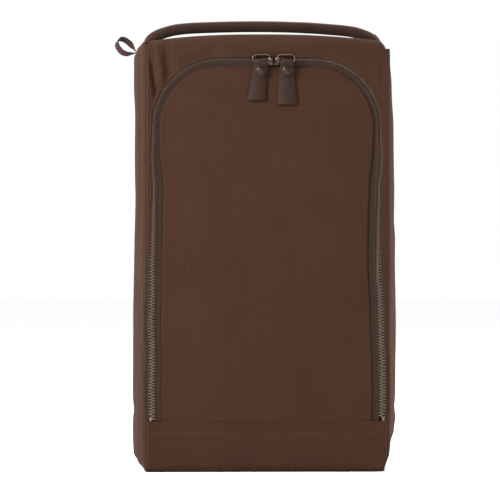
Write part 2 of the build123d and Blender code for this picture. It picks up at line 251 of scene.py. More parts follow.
def arch_point(distance, offset=0.0):
    """(x, z) at a distance along the zip from its left foot, and its outward direction."""
    radius = CHAIN_CORNER
    if distance < LEG:
        z, out = DOOR_FOOT + distance, (-1.0, 0.0)
        x = -CHAIN_HALF + wander(-1, z)
    elif distance < LEG + BEND:
        turn = (distance - LEG) / radius
        out = (-math.cos(turn), math.sin(turn))
        x, z = -STRAIGHT + radius * out[0], SPRING + radius * out[1]
    elif distance < LEG + BEND + 2 * STRAIGHT:
        x, z, out = distance - LEG - BEND - STRAIGHT, CHAIN_TOP, (0.0, 1.0)
    elif distance < LEG + 2 * BEND + 2 * STRAIGHT:
        turn = (distance - LEG - BEND - 2 * STRAIGHT) / radius
        out = (math.sin(turn), math.cos(turn))
        x, z = STRAIGHT + radius * out[0], SPRING + radius * out[1]
    else:
        z, out = SPRING - (distance - LEG - 2 * BEND - 2 * STRAIGHT), (1.0, 0.0)
        x = CHAIN_HALF - wander(1, z)
    return x + out[0] * offset, z + out[1] * offset, out


def arch_inside(x, z):
    """How far a point lies inside the line where the teeth meet."""
    side = CHAIN_HALF - abs(x) - wander(x, z)
    top = CHAIN_TOP - z
    if side < CHAIN_CORNER and top < CHAIN_CORNER:
        return CHAIN_CORNER - math.hypot(CHAIN_CORNER - side, CHAIN_CORNER - top)
    return min(side, top)


# ---- the outline of the bag ----

# (height, how far a side stands out beyond its seams), in millimetres
SWELL = {
    -1: [(0, 1.0), (6, 6.5), (12, 9.0), (32, 9.4), (128, 9.3), (180, 8.3), (240, 7.5), (300, 7.0),
         (330, 8.4), (352, 8.4), (358, 6.0), (364, 1.0)],
    1: [(0, -6.0), (8, -5.2), (14, -2.2), (21, 3.0), (32, 7.2), (44, 8.6), (195, 8.6), (212, 7.4),
        (290, 6.8), (325, 5.0), (352, 2.4), (362, -1.5)]}
SLUMP = 5.5 * MM             # how far the right corner has sunk
SIDE_CURVE = 2.3             # flatness of a side's swelling


def swell(side, z, share=0.0):
    """How far a side panel stands out beyond its seams at height z; share is 0 midway between them
    and 1 or -1 at a seam."""
    return along(SWELL[side], z) * (1 - abs(share) ** SIDE_CURVE)


def top_edge(x):
    """Height of the bag's top edge at x: a flat crown with soft shoulders."""
    share = min(1.0, abs(x) / SEAM)
    slumped = SLUMP * smooth(SEAM - 6 * MM, SEAM + 0.5 * MM, x)
    return SHOULDER + CROWN * (1 - share ** (2.6 if x < 0 else 2.3)) - slumped


def shoulder(side):
    """Height of the top seam at a side's end: the right corner has slumped."""
    return SHOULDER if side < 0 else SHOULDER - SLUMP


def seam_x(side, z):
    """Where an upright seam lies at height z: it draws in a little at the foot."""
    drawn = 1.2 * MM if side < 0 else 4.4 * MM
    return side * (SEAM - drawn * (1 - smooth(0.0, 17 * MM, z)))


def fall_away(gap, radius):
    """How far a rounded edge has turned back at a distance from its outline."""
    if gap >= radius:
        return 0.0
    return radius - math.sqrt(max(0.0, radius**2 - (radius - gap) ** 2))


# ---- materials ----

def shader(name, roughness, **constants):
    """A new material with a cleared tree, its node tree and its surface shader."""
    material = bpy.data.materials.new(name)
    material.use_nodes = True
    tree = material.node_tree
    tree.nodes.clear()
    surface = tree.nodes.new("ShaderNodeBsdfPrincipled")
    output = tree.nodes.new("ShaderNodeOutputMaterial")
    tree.links.new(surface.outputs[0], output.inputs[0])
    surface.inputs["Roughness"].default_value = roughness
    for socket, value in constants.items():
        surface.inputs[socket.replace("_", " ")].default_value = value
    return material, tree, surface


def node(tree, kind, inputs=(), **settings):
    """Adds a node; inputs are (socket, value or output) pairs."""
    added = tree.nodes.new("ShaderNode" + kind)
    for setting, value in settings.items():
        setattr(added, setting, value)
    for socket, value in inputs:
        if isinstance(value, bpy.types.NodeSocket):
            tree.links.new(value, added.inputs[socket])
        else:
            added.inputs[socket].default_value = value
    return added


def flat_place(tree, turn=0.0):
    """The cloth's own flat coordinates in millimetres, turned by an angle."""
    flat = node(tree, "UVMap", uv_map="Flat")
    return node(tree, "Mapping", [("Vector", flat.outputs[0]), ("Rotation", (0, 0, turn)),
                                  ("Scale", (1000, 1000, 1000))]).outputs[0]


def solid_place(tree, scale=1000.0):
    """The bag's own coordinates, in millimetres unless scaled otherwise."""
    place = node(tree, "TexCoord").outputs["Object"]
    return node(tree, "Mapping", [("Vector", place), ("Scale", (scale,) * 3)]).outputs[0]


def bands(tree, place, period, direction="X", distortion=0.0, detail=1.0):
    """Soft stripes of a period in the units of place."""
    return node(tree, "TexWave", [("Vector", place), ("Scale", 0.31416 / period),
                                  ("Distortion", distortion), ("Detail", detail),
                                  ("Detail Scale", 2.0)], bands_direction=direction).outputs["Fac"]


def cloud(tree, place, size, detail=3.0, rough=0.55):
    """Noise whose lumps have a size in the units of place."""
    return node(tree, "TexNoise", [("Vector", place), ("Scale", 1.0 / size), ("Detail", detail),
                                   ("Roughness", rough)]).outputs["Fac"]


def maths(tree, operation, first, second=0.0, third=0.0, clamp=False):
    """One sum."""
    return node(tree, "Math", [(0, first), (1, second), (2, third)], operation=operation,
                use_clamp=clamp).outputs[0]


def ramp(tree, value, stops):
    """A colour or grey for each value; stops are (place, colour)."""
    made = node(tree, "ValToRGB", [("Fac", value)])
    points = made.color_ramp.elements
    while len(points) < len(stops):
        points.new(0.5)
    for point, (place, colour) in zip(points, stops):
        point.position = place
        point.color = (*colour, 1.0) if len(colour) == 3 else colour
    return made.outputs["Color"]


def blended(tree, share, first, second, mode="MIX"):
    """Two colours mixed by share."""
    mix = node(tree, "Mix", data_type="RGBA", blend_type=mode)
    for index, value in ((0, share), (6, first), (7, second)):
        if isinstance(value, bpy.types.NodeSocket):
            tree.links.new(value, mix.inputs[index])
        elif isinstance(value, tuple):
            mix.inputs[index].default_value = (*value, 1.0)
        else:
            mix.inputs[index].default_value = value
    return mix.outputs[2]


def plus(tree, first, second):
    """The sum of two values."""
    return maths(tree, "ADD", first, second)


def times(tree, first, second, more=0.0):
    """The product of two values, and more on top of it."""
    return maths(tree, "MULTIPLY_ADD", first, second, more)


def dress(tree, surface, colour, roughness, height, distance, strength):
    """Joins a colour, a roughness and a relief of a depth in millimetres to a surface."""
    tree.links.new(colour, surface.inputs["Base Color"])
    tree.links.new(roughness, surface.inputs["Roughness"])
    relief = node(tree, "Bump", [("Height", height), ("Distance", distance * MM), ("Strength", strength)])
    tree.links.new(relief.outputs[0], surface.inputs["Normal"])


def tinted(colour, share):
    """A colour made lighter or darker."""
    return tuple(channel * share for channel in colour)


def canvas_cloth(name, colour, contrast=1.0, rib=2.75, sheen=0.025):
    """Heavy cotton canvas: upright ribs broken into slanting dashes, fine threads, faint mottling."""
    material, tree, surface = shader(name, 0.95, Specular_IOR_Level=0.04, Sheen_Weight=sheen,
                                     Sheen_Roughness=0.55, Sheen_Tint=(0.9, 0.62, 0.5, 1.0))
    place = flat_place(tree)
    ribs = bands(tree, place, rib, distortion=1.3)
    dashes = bands(tree, flat_place(tree, math.radians(31)), rib * 0.42, "Y", 0.5)
    threads = times(tree, bands(tree, place, 0.62, distortion=0.4), bands(tree, place, 0.7, "Y", 0.4))
    fibre = cloud(tree, place, 0.5, 2.0, 0.7)
    fine = cloud(tree, place, 1.7, 3.0, 0.75)
    worn = cloud(tree, solid_place(tree), 38.0, 4.0)
    broken = times(tree, times(tree, ribs, 0.66, 0.34), times(tree, dashes, 0.65, 0.35))
    height = plus(tree, times(tree, broken, 0.7), plus(tree, times(tree, threads, 0.35),
                                                         times(tree, fibre, 0.35)))
    shade = plus(tree, times(tree, broken, 0.42), plus(tree, times(tree, fine, 0.62),
                                                         times(tree, threads, 0.15)))
    dyed = ramp(tree, shade, [(0.2, tinted(colour, 1 - 0.3 * contrast)), (0.48, colour),
                              (0.83, tinted(colour, 1 + 0.4 * contrast))])
    patch = ramp(tree, worn, [(0.35, (0.9, 0.9, 0.9)), (0.65, (1.0, 1.0, 1.0))])
    dress(tree, surface, blended(tree, 1.0, dyed, patch, "MULTIPLY"), times(tree, fibre, 0.1, 0.87),
          height, 0.22, 0.6)
    return material


def plain_cloth(name, colour, thread=0.5, sheen=0.1, roughness=0.85, flat=True, shine=0.08):
    """A smooth close weave, such as lining, binding or zip tape."""
    material, tree, surface = shader(name, roughness, Specular_IOR_Level=shine, Sheen_Weight=sheen,
                                     Sheen_Roughness=0.45)
    place = flat_place(tree) if flat else solid_place(tree)
    weave = times(tree, bands(tree, place, thread, distortion=0.5),
                  bands(tree, place, thread * 1.3, "Y" if flat else "Z", 0.5))
    uneven = cloud(tree, solid_place(tree), 9.0, 4.0)
    dyed = ramp(tree, plus(tree, times(tree, weave, 0.4), times(tree, uneven, 0.6)),
                [(0.15, tinted(colour, 0.72)), (0.5, colour), (0.85, tinted(colour, 1.25))])
    dress(tree, surface, dyed, times(tree, uneven, 0.2, roughness - 0.1), weave, 0.08, 0.6)
    return material


def metal(name, colour, bright, roughness=0.38):
    """Antiqued brass: dark in the hollows, rubbed bright in patches and on edges."""
    material, tree, surface = shader(name, roughness, Metallic=1.0)
    place = solid_place(tree)
    rubbed = cloud(tree, place, 1.1, 4.0, 0.7)
    specks = cloud(tree, place, 0.3, 2.0, 0.6)
    edge = node(tree, "NewGeometry").outputs["Pointiness"]
    worn = maths(tree, "ADD", times(tree, edge, 3.2, -1.55), rubbed, clamp=True)
    tone = ramp(tree, worn, [(0.42, tinted(colour, 0.6)), (0.58, colour), (0.82, bright)])
    dress(tree, surface, tone, times(tree, specks, 0.28, roughness - 0.1), plus(tree, rubbed, specks),
          0.03, 0.5)
    return material


def ramp_grey(tree, value, low, high):
    """0 at low, 1 at high."""
    return maths(tree, "DIVIDE", maths(tree, "SUBTRACT", value, low), high - low, clamp=True)


def hide(name, colour):
    """Waxed leather: fine pebble grain, pores, scuffs and a dull polish."""
    material, tree, surface = shader(name, 0.65, Specular_IOR_Level=0.08)
    place = solid_place(tree)
    cells = node(tree, "TexVoronoi", [("Vector", place), ("Scale", 1.7), ("Randomness", 0.9)],
                 feature="DISTANCE_TO_EDGE").outputs["Distance"]
    pores = cloud(tree, place, 0.35, 3.0, 0.7)
    scuffs = cloud(tree, place, 6.0, 6.0, 0.65)
    tone = ramp(tree, scuffs, [(0.3, tinted(colour, 0.8)), (0.55, colour), (0.75, tinted(colour, 1.35))])
    dress(tree, surface, blended(tree, times(tree, pores, 0.25), tone, tinted(colour, 0.55)),
          times(tree, scuffs, 0.35, 0.36), plus(tree, ramp_grey(tree, cells, 0.0, 0.2),
                                                 times(tree, pores, 0.5)), 0.08, 0.4)
    return material


def cut_edge(name, colour):
    """The raw cut edge of leather: pale, fibrous."""
    material, tree, surface = shader(name, 0.85, Specular_IOR_Level=0.2)
    fibres = cloud(tree, solid_place(tree), 0.4, 5.0, 0.7)
    tone = ramp(tree, fibres, [(0.3, tinted(colour, 0.6)), (0.6, colour), (0.8, tinted(colour, 1.3))])
    dress(tree, surface, tone, times(tree, fibres, 0.2, 0.7), fibres, 0.12, 0.8)
    return material


def striped_ribbon(name, middle, edge, width):
    """Grosgrain ribbon of a width in millimetres: cross ribs, and a darker stripe along each edge."""
    material, tree, surface = shader(name, 0.75, Specular_IOR_Level=0.12, Sheen_Weight=0.06,
                                     Sheen_Roughness=0.4)
    place = flat_place(tree)
    across = node(tree, "SeparateXYZ", [(0, place)]).outputs[1]
    off = maths(tree, "ABSOLUTE", maths(tree, "SUBTRACT", across, width / 2))
    ribs = bands(tree, place, 0.55, distortion=0.3)
    threads = cloud(tree, place, 0.4, 3.0, 0.7)
    tone = blended(tree, ramp_grey(tree, off, width * 0.27, width * 0.30), middle, edge)
    shaded = blended(tree, times(tree, ribs, 0.3, times(tree, threads, 0.3)), tone, (0.01, 0.008, 0.008))
    dress(tree, surface, shaded, times(tree, threads, 0.2, 0.65), ribs, 0.1, 0.7)
    return material


CANVAS_BROWN = (0.0305, 0.0138, 0.0083)
canvas = canvas_cloth("canvas", CANVAS_BROWN)
# The sides' canvas is the front's canvas painted 4 % lighter, which is painted light for the brighter light
# on the sides. Its weave contrast is also lower.
side_canvas = canvas_cloth("side_canvas", tinted(CANVAS_BROWN, 1.04), 0.8)
# The handle's canvas is the bag's canvas painted darker, which is painted shade for the shadow behind the
# bag's top where the handle stands.
handle_cloth = canvas_cloth("handle_canvas", (0.021, 0.0108, 0.0072), 0.8, 1.9, 0.2)
seam_cloth = plain_cloth("seam_cloth", (0.023, 0.0103, 0.0065), flat=False)
lining_cloth = plain_cloth("lining_cloth", (0.06, 0.035, 0.026), 0.6, flat=False)
tape_cloth = plain_cloth("zip_tape", (0.0235, 0.0128, 0.0092), 0.7, sheen=0.03, roughness=0.6, shine=0.06)
binding_cloth = plain_cloth("binding_cloth", (0.024, 0.014, 0.0105), 0.7, flat=False)
thread = plain_cloth("thread", (0.048, 0.0262, 0.0182), 0.35, sheen=0.1, roughness=0.65, flat=False)
filler = plain_cloth("filler_cord", (0.3, 0.26, 0.21), 1.2, flat=False)
stiffener = plain_cloth("stiffener_board", (0.04, 0.036, 0.032), 2.0, sheen=0.0, flat=False)
teeth_metal = metal("teeth_metal", (0.025, 0.0168, 0.0122), (0.165, 0.126, 0.098), 0.38)
brass = metal("antique_brass", (0.042, 0.029, 0.022), (0.17, 0.122, 0.088), 0.38)
rivet_metal = metal("rivet_metal", (0.032, 0.0205, 0.0155), (0.07, 0.046, 0.036), 0.42)
leather = hide("leather", (0.0225, 0.0118, 0.008))
raw_edge = cut_edge("leather_edge", (0.14, 0.07, 0.047))
ribbon_cloth = striped_ribbon("ribbon", (0.05, 0.0085, 0.0115), (0.0125, 0.0098, 0.0098), 8.0)


# ---- canvas panels ----

PANEL_CLOTH = 1.2 * MM       # thickness of the bag's canvas where it shows
DOOR_CLOTH = 1.3 * MM
LINING_CLOTH = 0.3 * MM
LINING_GAP = 12.0            # how far behind the face the lining lies, in linings' thicknesses
MIDDLE = (BACK + FRONT) / 2
DEPTH = BACK - FRONT
CORNER = 5.0 * MM            # rounding of the front's top corners

# folds of the cloth in millimetres, as creases() takes them
YOKE_FOLDS = [((-97.5, 348), (-92.5, 310), 2.2, 3.6), ((-85, 362), (-81, 322), 4.5, 2.4),
              ((-92, 360), (-86, 314), 3.0, -1.8), ((84, 352), (92, 318), 5.0, 0.9),
              ((96, 350), (97, 312), 3.0, 0.8)]
DOOR_FOLDS = [((-86, 300), (-62, 322), 7.0, 0.5)]
SIDE_FOLDS = [((-48, 352), (-50, 200), 5.0, 2.2), ((-30, 350), (-22, 250), 6.0, 1.2),
              ((44, 350), (40, 180), 8.0, 1.6), ((-40, 60), (10, 46), 5.0, 1.0)]


def panel(name, columns, rows, place, spread, inward, node_name, lining_node=None, cloth=canvas):
    """A canvas panel of the bag and, where it has one, the lining just behind it. inward is 1 or -1
    along the sheet's normal."""
    size = len(columns), len(rows)
    sheet(name, *size, place, spread, PANEL_CLOTH, inward, cloth, "bag", "canvas", node_name)
    if lining_node:
        sheet(f"{name}_lining", *size, place, spread, LINING_CLOTH, inward * LINING_GAP, lining_cloth,
              "bag", "lining", lining_node)


def front_relief(x, z, inside):
    """Slow unevenness of the front cloth, away from its edges."""
    return (ripple(x, z, 3.1, 1.1, 55) + ripple(x, z, 8.4, 0.22, 16)) * smooth(0.0, 18 * MM, inside)


def door_face():
    """The door: a slightly padded sheet with turned edges beside the zip."""
    setback = CHAIN_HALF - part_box("door_panel")[1][0] - 0.4 * MM
    lap = 2.8 * MM

    def drawn_back(z):
        return setback - lap * smooth(SPRING - 45 * MM, SPRING, z)

    half = CHAIN_HALF - setback + lap
    corner = CHAIN_CORNER - setback + lap
    foot = DOOR_FOOT - 3.6 * MM
    columns = spaced(-1.0, 1.0, 150, 0.86)
    rows = [(z, CHAIN_HALF - drawn_back(z)) for z in spaced(foot, SPRING, 90, 0.35)]
    rows += [(SPRING + corner * math.sin(turn), half - corner + corner * math.cos(turn))
             for turn in spaced(0.0, math.pi / 2, 46)[1:]]

    def place(i, j):
        z, reach = rows[j]
        x = columns[i] * (reach - wander(columns[i], z))
        inside = max(0.0, arch_inside(x, z) - drawn_back(z))
        pillow = 1.5 * MM * smooth(0.0, 45 * MM, inside) * smooth(0, 60 * MM, z - foot)
        edge = 1.25 * fall_away(inside, 1.5 * MM)
        raised = pillow + front_relief(x, z, inside) - edge - creases(x, z, DOOR_FOLDS) + 0.15 * MM
        return x, FRONT - raised, z

    piece = sheet("door_canvas", len(columns), len(rows), place,
                  lambda i, j: (columns[i] * rows[j][1], rows[j][0]), DOOR_CLOTH, -1.0, canvas, None,
                  "canvas", "door_panel")
    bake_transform(piece)


def outline_gap(x, z):
    """How far a point of the front lies inside the bag's outline."""
    side = SEAM - abs(x)
    top = top_edge(x) - z
    if side < CORNER and top < CORNER:
        return CORNER - math.hypot(CORNER - side, CORNER - top)
    return min(side, top)


def slider_run(x, z):
    """1 along the part of the zip where the sliders and their rings pass, and 0 elsewhere."""
    if z < CHAIN_TOP - 6 * MM:
        return 0.0
    return smooth(-46 * MM, -36 * MM, x) * (1 - smooth(38 * MM, 48 * MM, x))


def bareness(z):
    """How bare the teeth lie at height z: hardly on the arch, and more and more down the legs."""
    return 1 - smooth(110 * MM, 305 * MM, z)


def yoke_edge(x, z):
    """How far from the teeth's meeting line the yoke's edge lies: it laps over the teeth along the
    arch and draws back from them down the legs."""
    return 0.95 * MM + 0.5 * MM * slider_run(x, z) + 1.9 * MM * bareness(z)


def yoke_face():
    """The canvas round the arch, turning down into the side seams and back over the top edge."""
    leg = spaced(0.0, LEG, 90)
    bend = spaced(LEG, LEG + BEND, 90)[:-1]
    stations = leg[:-1] + bend + spaced(LEG + BEND, LEG + BEND + 2 * STRAIGHT, 60)[:-1]
    stations += [ARCH - station for station in reversed(bend)] + [ARCH - station for station in reversed(leg)]
    edges = [yoke_edge(*arch_point(station)[:2]) for station in stations]
    steps = spaced(0.0, 1.0, 40, 0.9)
    reaches = []
    for station, low in zip(stations, edges):
        high = 0.2
        for _ in range(30):
            middle = (low + high) / 2
            if outline_gap(*arch_point(station, middle)[:2]) > 0:
                low = middle
            else:
                high = middle
        reaches.append(low)

    def flat(i, j):
        return arch_point(stations[i], edges[i] + (reaches[i] - edges[i]) * steps[j])[:2]

    def place(i, j):
        x, z = flat(i, j)
        side = max(SEAM - abs(x), 0.0)
        top = max(top_edge(x) - z, 0.0)
        turned = max(fall_away(top, EDGE_ROUND), fall_away(outline_gap(x, z), SEAM_ROUND),
                     fall_away(side, SEAM_ROUND))
        zip_edge = steps[j] * (reaches[i] - edges[i])
        rolled = 0.55 * fall_away(zip_edge, 1.1 * MM)
        covering = 1 - smooth(1.2 * MM, 3.0 * MM, edges[i])
        lifted = (0.75 + 1.7 * slider_run(*arch_point(stations[i])[:2])) * MM * covering
        lifted *= 1 - smooth(5 * MM, 17 * MM, zip_edge)
        puffed = 1.4 * MM * smooth(0.0, 12 * MM, zip_edge) * smooth(0, 14 * MM, top) + lifted
        folds = creases(x, z, YOKE_FOLDS) * smooth(0, 5 * MM, zip_edge)
        return x, FRONT - puffed - front_relief(x, z, min(zip_edge, top)) + turned + rolled + folds, z

    panel("yoke_canvas", stations, steps, place, flat, -1.0, "front_yoke")


def band_line(x):
    """Height of the band's top edge at x: it sags a little in the middle."""
    return BAND_TOP + 0.5 * MM - 1.7 * MM * (1 - (x / SEAM) ** 2)


STITCH_DROP = 9.0 * MM       # of the band's stitches below its edge


def towards_seam(share, z):
    """x at a share of the way from the middle to a side seam at height z, and how far off the seam is."""
    seam = seam_x(-1 if share < 0 else 1, z)
    x = abs(share) * seam
    return x, abs(seam) - abs(x)


def band_face():
    """The band across the foot of the front, its top edge lapped over the door."""
    columns = spaced(-1.0, 1.0, 120, 0.8)
    shares = spaced(0.0, 1.0, 50, 0.9)

    def place(i, j):
        top = band_line(columns[i] * SEAM)
        z = shares[j] * top
        x, side = towards_seam(columns[i], z)
        down = top - z
        turned = max(fall_away(z, EDGE_ROUND), fall_away(side, SEAM_ROUND))
        stitched = 0.4 * MM * math.exp(-(((down - STITCH_DROP) / (1.6 * MM)) ** 2))
        lifted = 0.9 * MM + 0.5 * MM * (1 - smooth(2 * MM, 7 * MM, down)) * smooth(0, 2 * MM, side)
        lifted += front_relief(x, z, min(down, side, z)) * 0.7
        return x, FRONT - lifted + turned + 0.9 * fall_away(down, 1.0 * MM) + stitched, z

    panel("band_canvas", columns, shares, place,
          lambda i, j: (columns[i] * SEAM, shares[j] * BAND_TOP + 0.4 * MM), -1.0, "front_band",
          "band_lining")


def back_face():
    """The plain back, turned in at every seam."""
    columns = spaced(-1.0, 1.0, 120, 0.8)
    shares = spaced(0.0, 1.0, 150, 0.8)

    def flat(i, j):
        x = columns[i] * SEAM
        return x, shares[j] * top_edge(x)

    def place(i, j):
        z = flat(i, j)[1]
        x, side = towards_seam(columns[i], z)
        top = top_edge(x) - z
        turned = max(fall_away(z, EDGE_ROUND), fall_away(side, SEAM_ROUND), fall_away(top, EDGE_ROUND))
        inside = min(side, top, z)
        sag = 1.6 * MM * smooth(0, 60 * MM, inside)
        return x, BACK - turned + sag + ripple(x, z, 5.5, 1.6, 70, 110) * smooth(0, 30 * MM, inside), z

    panel("back_canvas", columns, shares, place, flat, 1.0, "back_panel", "back_lining")


def side_face(side, name):
    """A swollen side with soft upright folds."""
    columns = spaced(-1.0, 1.0, 70, 0.6)
    heights = spaced(0.0, shoulder(side), 150, 0.75)
    reach = DEPTH / 2 - SEAM_ROUND

    def place(i, j):
        z = heights[j]
        down = heights[-1] - z
        gap = (1 - abs(columns[i])) * reach
        y = MIDDLE + columns[i] * (reach - 0.55 * (fall_away(z, EDGE_ROUND) + fall_away(down, EDGE_ROUND)))
        open_cloth = smooth(0, 12 * MM, gap) * smooth(0, 25 * MM, z) * smooth(0, 16 * MM, down)
        slack = ripple(y, z, 2.0 + side, 1.3, 26, 120) + ripple(y, z, 6.0 + side, 0.5, 11, 50)
        slack -= creases(y - MIDDLE, z, SIDE_FOLDS)
        x = abs(seam_x(side, z)) + swell(side, z, columns[i]) + slack * open_cloth
        x += CANVAS * 0.75 + (SEAM_ROUND - fall_away(gap, SEAM_ROUND)) * 0.5
        return side * x, y, z

    panel(f"{name}_side_canvas", columns, heights, place, lambda i, j: (columns[i] * reach, heights[j]),
          -side, f"{name}_gusset", f"{name}_lining", side_canvas)


def level_face(name, counts, reach, level, proud, height, inward, *nodes):
    """A level panel between the sides, which it meets at a level and stands proud of. counts are its
    points across and deep, and height(x, y, across, deep) gives their heights."""
    columns, shares = (spaced(-1.0, 1.0, *count) for count in counts)

    def place(i, j):
        side = -1 if columns[i] < 0 else 1
        x = columns[i] * (abs(seam_x(side, level)) + swell(side, level, shares[j]) + proud)
        y = MIDDLE + shares[j] * reach
        return x, y, height(x, y, columns[i], shares[j])

    panel(name, columns, shares, place, lambda i, j: (columns[i] * SEAM, shares[j] * reach), inward, *nodes)


def crowned(x, y, across, deep):
    """Height of the bag's top at (x, y); across and deep are 0 at its middle and 1 at its edges."""
    edge = min(1 - abs(deep), (1 - abs(across)) * 1.5)
    rise = 2.4 * MM * (1 - deep**2) * (1 - across**4)
    return top_edge(x) + rise + ripple(x, y, 9.0, 0.7, 45, 30) * smooth(0, 0.3, edge) - 0.3 * MM


def resting(x, y, across, deep):
    """Height of the base at (x, y)."""
    edge = min(1 - abs(deep), 1 - abs(across))
    return 0.9 * MM * (1 - smooth(0, 0.12, edge)) + ripple(x, y, 1.0, 0.25, 30) + 0.3 * MM


door_face()
yoke_face()
band_face()
back_face()
for side, name in ((-1, "left"), (1, "right")):
    side_face(side, name)
level_face("top_canvas", ((110, 0.7), (60, 0.6)), DEPTH / 2 - EDGE_ROUND, SHOULDER, SEAM_ROUND * 0.4,
           crowned, -1.0, "top_panel", "top_lining")
level_face("bottom_canvas", ((60, 0.7), (40, 0.7)), DEPTH / 2 - EDGE_ROUND * 0.9, 0.0, SEAM_ROUND * 0.5,
           resting, 1.0, "bottom_panel")


# ---- sweeps, stitches and seams ----

def sweep(name, centres, section, closed=False, reference=None):
    """A tube along centres; section(i) gives the cross-section's (side, up) points there."""
    centres = [Vector(centre) for centre in centres]
    count = len(centres)
    mesh = bmesh.new()
    rings = []
    carried = None
    for i, centre in enumerate(centres):
        before = centres[(i - 1) % count] if closed or i > 0 else centre
        after = centres[(i + 1) % count] if closed or i < count - 1 else centre
        forward = (after - before).normalized()
        start = Vector(reference) if reference else carried
        start = start or (Vector((0, 0, 1)) if abs(forward.z) < 0.9 else Vector((0, 1, 0)))
        across = carried = (start - forward * start.dot(forward)).normalized()
        upward = forward.cross(across)
        rings.append([mesh.verts.new(centre + across * a + upward * b) for a, b in section(i)])
    skin(mesh, rings, closed)
    return built(name, mesh)


def circle(radius, sides=16, upright=None):
    """A round cross-section, or an oval one where it has an upright radius too."""
    turns = (2 * math.pi * k / sides for k in range(sides))
    return [(radius * math.cos(turn), (upright or radius) * math.sin(turn)) for turn in turns]


def smooth_path(points, steps=10):
    """A soft curve through given points."""
    points = [Vector(point) for point in points]
    path = []
    for i, (start, end) in enumerate(zip(points, points[1:])):
        before = points[max(0, i - 1)]
        after = points[min(len(points) - 1, i + 2)]
        for k in range(steps):
            t = k / steps
            path.append(0.5 * (2 * start + (end - before) * t
                               + (2 * before - 5 * start + 4 * end - after) * t**2
                               + (3 * start - before - 3 * end + after) * t**3))
    return path + [points[-1]]


def lengths_along(path):
    """How far along a path each of its points lies."""
    lengths = [0.0]
    for start, end in zip(path, path[1:]):
        lengths.append(lengths[-1] + math.dist(start, end))
    return lengths


def evenly(path, pitch):
    """Points at a steady pitch along a path, each with the direction of travel."""
    spots = []
    carried = pitch / 2
    for start, end in zip(path, path[1:]):
        run = end - start
        while carried < run.length:
            spots.append((start + run * (carried / run.length), run.normalized()))
            carried += pitch
        carried -= run.length
    return spots


def stitch_row(name, path, out, body, slot, pitch=3.1 * MM, length=2.3 * MM, radius=0.26 * MM):
    """A row of thread stitches lying on a surface whose outward way is out."""
    mesh = bmesh.new()
    out = Vector(out).normalized()
    for spot, ahead in evenly(path, pitch):
        across = ahead.cross(out).normalized()
        lean = rng.uniform(-0.06, 0.06)
        rings = []
        for share, fat in ((-0.5, 0.35), (-0.36, 0.85), (0.0, 1.0), (0.36, 0.85), (0.5, 0.35)):
            sink = radius * 0.9 * (2 * share) ** 2
            middle = spot + (ahead + across * lean) * share * length + out * (radius * 0.45 - sink)
            rings.append([mesh.verts.new(middle + across * a + out * b) for a, b in circle(radius * fat, 6)])
        skin(mesh, rings)
    wear(built(name, mesh), thread, body, slot)


def band_stitches():
    """The row of stitches below the band's edge, dropped onto its surface."""
    bpy.context.view_layer.update()
    surface = bpy.data.objects["band_canvas"]
    ahead = Vector((0, 1, 0))
    path = []
    for x in range(-99, 100, 3):
        start = Vector((x * MM, FRONT - 30 * MM, band_line(x * MM) - STITCH_DROP))
        hit, spot, _, _ = surface.ray_cast(start, ahead, distance=60 * MM)
        if hit:
            path.append(spot)
    stitch_row("band_stitches", path, -ahead, "bag", "canvas")


band_stitches()


def welt(name, path, radius=1.1 * MM):
    """The turned seam in the valley between two panels."""
    wear(sweep(name, path, lambda i: circle(radius, 8)), seam_cloth, "bag", "canvas")


def seams():
    """Every seam between the bag's panels."""
    proud = 0.35 * MM
    for side, name in ((-1, "left"), (1, "right")):
        heights = spaced(1.2 * MM, shoulder(side) - 2 * MM, 60)
        for y, place in ((FRONT + SEAM_ROUND - proud, "front"), (BACK - SEAM_ROUND + proud, "back")):
            welt(f"{name}_{place}_seam", [(seam_x(side, z) + side * proud, y, z) for z in heights])
        reach = DEPTH / 2 - EDGE_ROUND
        for z, place in ((shoulder(side) - 0.4 * MM, "top"), (0.9 * MM, "bottom")):
            path = [(seam_x(side, z) + side * (swell(side, z, share) + SEAM_ROUND * 0.4),
                     MIDDLE + share * reach, z) for share in spaced(-1.0, 1.0, 40)]
            welt(f"{name}_{place}_seam", path, 0.7 * MM)
    columns = spaced(-SEAM + 2 * MM, SEAM - 2 * MM, 60)
    for y, place in ((FRONT + EDGE_ROUND, "front"), (BACK - EDGE_ROUND, "back")):
        welt(f"top_{place}_seam", [(x, y, top_edge(x) - 0.5 * MM) for x in columns], 0.65 * MM)
        welt(f"bottom_{place}_seam", [(x, y, 0.8 * MM) for x in columns], 0.65 * MM)


seams()


# ---- zip ----

def tape_strip(name, start, end, body, node_name):
    """One tape of the zip, from start(x, z) to end across the arch, lapped over the teeth's roots."""
    foot = 2.0 * MM          # how far the tape runs on behind the band
    over_teeth = 1.25 * MM
    stations = spaced(-foot, ARCH + foot, 420)
    steps = spaced(0.0, 1.0, 16)
    first = [start(*arch_point(station)[:2]) for station in stations]

    def place(i, j):
        offset = first[i] + (end - first[i]) * steps[j]
        x, z, _ = arch_point(stations[i], offset)
        over = 1 - smooth(2.2 * MM, 4.4 * MM, abs(offset))
        roll = 0.5 * MM * math.sin(math.pi * min(1.0, abs(offset - first[i]) / (7 * MM))) * (1 - over)
        wave = 0.15 * MM * noise.noise(Vector((stations[i] / (12 * MM), steps[j] * 2, 4.0))) * steps[j]
        return x, CHAIN_Y - 0.35 * MM - over_teeth * over - roll - wave, z

    sheet(name, len(stations), len(steps), place, lambda i, j: (stations[i], steps[j] * abs(end - first[i])),
          0.25 * MM, math.copysign(1, -end), tape_cloth, body, "zip_tape", node_name)


def bare_teeth(x, z):
    """How much of the inner teeth the tape leaves bare: their tips along the arch, all of them lower."""
    return -0.7 * MM - 0.35 * MM * slider_run(x, z) - 1.8 * MM * bareness(z)


